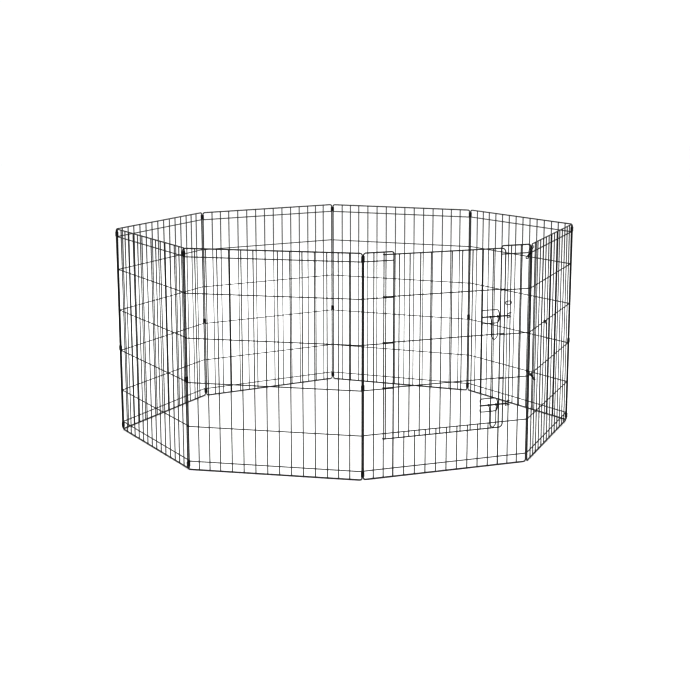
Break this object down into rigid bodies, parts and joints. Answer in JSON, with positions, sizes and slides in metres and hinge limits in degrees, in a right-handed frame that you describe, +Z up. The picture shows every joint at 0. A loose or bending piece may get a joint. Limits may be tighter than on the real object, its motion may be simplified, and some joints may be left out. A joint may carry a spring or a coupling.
{
  "type": "pet playpen",
  "caption": "Folding black wire pet playpen of hinged welded panels with a two-latch walk-in door, closed by thumb snaps.",
  "frame": {"origin": "centre of the pen's plan on the floor", "axes": "+Z up, -Y out through the door panel, +X to the right as seen from outside the door"},
  "size_m": [1.6371, 1.4814, 0.762],
  "materials": {
    "panel_wire": "satin black e-coat over steel wire",
    "door_wire": "satin black e-coat over steel wire",
    "hardware_wire": "satin black e-coat",
    "latch_wire": "worn black e-coat",
    "clip_steel": "black coated pressed steel",
    "snap_metal": "black plated die-cast metal"
  },
  "bodies": {
    "back_panel": {"back_panel": "panel_wire", "corner_clip_4_top": "clip_steel", "corner_clip_4_middle": "clip_steel", "corner_clip_4_bottom": "clip_steel", "corner_clip_5_top": "clip_steel", "corner_clip_5_middle": "clip_steel", "corner_clip_5_bottom": "clip_steel"},
    "back_left_panel": {"back_left_panel": "panel_wire", "corner_clip_3_top": "clip_steel", "corner_clip_3_middle": "clip_steel", "corner_clip_3_bottom": "clip_steel"},
    "left_panel": {"left_panel": "panel_wire", "corner_clip_2_top": "clip_steel", "corner_clip_2_middle": "clip_steel", "corner_clip_2_bottom": "clip_steel"},
    "front_left_panel": {"front_left_panel": "panel_wire", "corner_clip_1_top": "clip_steel", "corner_clip_1_middle": "clip_steel", "corner_clip_1_bottom": "clip_steel"},
    "door_panel": {"door_panel": "panel_wire", "upper_keeper": "hardware_wire", "lower_keeper": "hardware_wire", "tie_loop": "hardware_wire", "upper_snap_body": "snap_metal"},
    "back_right_panel": {"back_right_panel": "panel_wire", "corner_clip_6_top": "clip_steel", "corner_clip_6_middle": "clip_steel", "corner_clip_6_bottom": "clip_steel"},
    "right_panel": {"right_panel": "panel_wire", "corner_clip_7_top": "clip_steel", "corner_clip_7_middle": "clip_steel", "corner_clip_7_bottom": "clip_steel"},
    "front_right_panel": {"front_right_panel": "panel_wire", "lower_snap_body": "snap_metal"},
    "door": {"door": "door_wire", "upper_bolt_guide": "hardware_wire", "lower_bolt_guide": "hardware_wire"},
    "upper_bolt": {"upper_bolt": "latch_wire"},
    "upper_bolt_handle": {"upper_bolt_handle": "latch_wire"},
    "lower_bolt": {"lower_bolt": "latch_wire"},
    "lower_bolt_handle": {"lower_bolt_handle": "latch_wire"},
    "upper_snap_thumb": {"upper_snap_thumb": "snap_metal"},
    "lower_snap_thumb": {"lower_snap_thumb": "snap_metal"},
    "spare_hook": {"spare_hook": "hardware_wire"}
  },
  "joints": [
    {"name": "fold", "type": "hinge", "parent": "back_panel", "child": "back_left_panel", "pos_m": [-0.37724, 0.62874, 0.381], "axis": [0, 0, -1], "range_deg": [0, 211.97]},
    {"name": "corner_3_hinge", "type": "hinge", "parent": "back_left_panel", "child": "left_panel", "pos_m": [-0.81278, 0.20376, 0.381], "axis": [0, 0, 1], "range_deg": [0, 123.12]},
    {"name": "corner_2_hinge", "type": "hinge", "parent": "left_panel", "child": "front_left_panel", "pos_m": [-0.72281, -0.39808, 0.381], "axis": [0, 0, -1], "range_deg": [0, 226.12]},
    {"name": "corner_1_hinge", "type": "hinge", "parent": "front_left_panel", "child": "door_panel", "pos_m": [-0.21074, -0.72685, 0.381], "axis": [0, 0, 1], "range_deg": [0, 145.22]},
    {"name": "corner_5_hinge", "type": "hinge", "parent": "back_panel", "child": "back_right_panel", "pos_m": [0.22675, 0.72481, 0.381], "axis": [0, 0, -1], "range_deg": [0, 125.67]},
    {"name": "corner_6_hinge", "type": "hinge", "parent": "back_right_panel", "child": "right_panel", "pos_m": [0.67881, 0.31746, 0.381], "axis": [0, 0, 1], "range_deg": [0, 212.9]},
    {"name": "corner_7_hinge", "type": "hinge", "parent": "right_panel", "child": "front_right_panel", "pos_m": [0.80951, -0.27687, 0.381], "axis": [0, 0, -1], "range_deg": [0, 123.12]},
    {"name": "door_hinge", "type": "hinge", "parent": "door_panel", "child": "door", "pos_m": [-0.13988, -0.7282, 0.44], "axis": [0, 0, 1], "range_deg": [-110, 0]},
    {"name": "upper_bolt_slide", "type": "slide", "parent": "door", "child": "upper_bolt", "axis": [1, 0, 0], "range_m": [-0.017, 0]},
    {"name": "upper_handle_lift", "type": "hinge", "parent": "upper_bolt", "child": "upper_bolt_handle", "pos_m": [0.25526, -0.74126, 0.524], "axis": [1, 0, 0], "range_deg": [-150, 0]},
    {"name": "lower_bolt_slide", "type": "slide", "parent": "door", "child": "lower_bolt", "axis": [1, 0, 0], "range_m": [-0.017, 0]},
    {"name": "lower_handle_lift", "type": "hinge", "parent": "lower_bolt", "child": "lower_bolt_handle", "pos_m": [0.25526, -0.74126, 0.2193], "axis": [1, 0, 0], "range_deg": [-150, 0]},
    {"name": "upper_snap_slide", "type": "slide", "parent": "door_panel", "child": "upper_snap_thumb", "axis": [-0.647, -0.2853, -0.7071], "range_m": [0, 0.006], "stiffness_N_per_m": 150, "springref_m": -0.002},
    {"name": "lower_snap_slide", "type": "slide", "parent": "front_right_panel", "child": "lower_snap_thumb", "axis": [0.647, 0.2853, -0.7071], "range_m": [0, 0.006], "stiffness_N_per_m": 150, "springref_m": -0.002},
    {"name": "spare_hook_swing", "type": "hinge", "parent": "front_right_panel", "child": "spare_hook", "pos_m": [0.54855, -0.56066, 0.4572], "axis": [-0.6743, -0.7385, 0], "range_deg": [0, 60]}
  ],
  "couplings": [
    {"joint": "corner_3_hinge", "follows": "fold", "ratio": 0.58073},
    {"joint": "corner_2_hinge", "follows": "fold", "ratio": 1.0666},
    {"joint": "corner_1_hinge", "follows": "fold", "ratio": 0.68499},
    {"joint": "corner_5_hinge", "follows": "fold", "ratio": 0.59278},
    {"joint": "corner_6_hinge", "follows": "fold", "ratio": 1.0043},
    {"joint": "corner_7_hinge", "follows": "fold", "ratio": 0.58073}
  ]
}
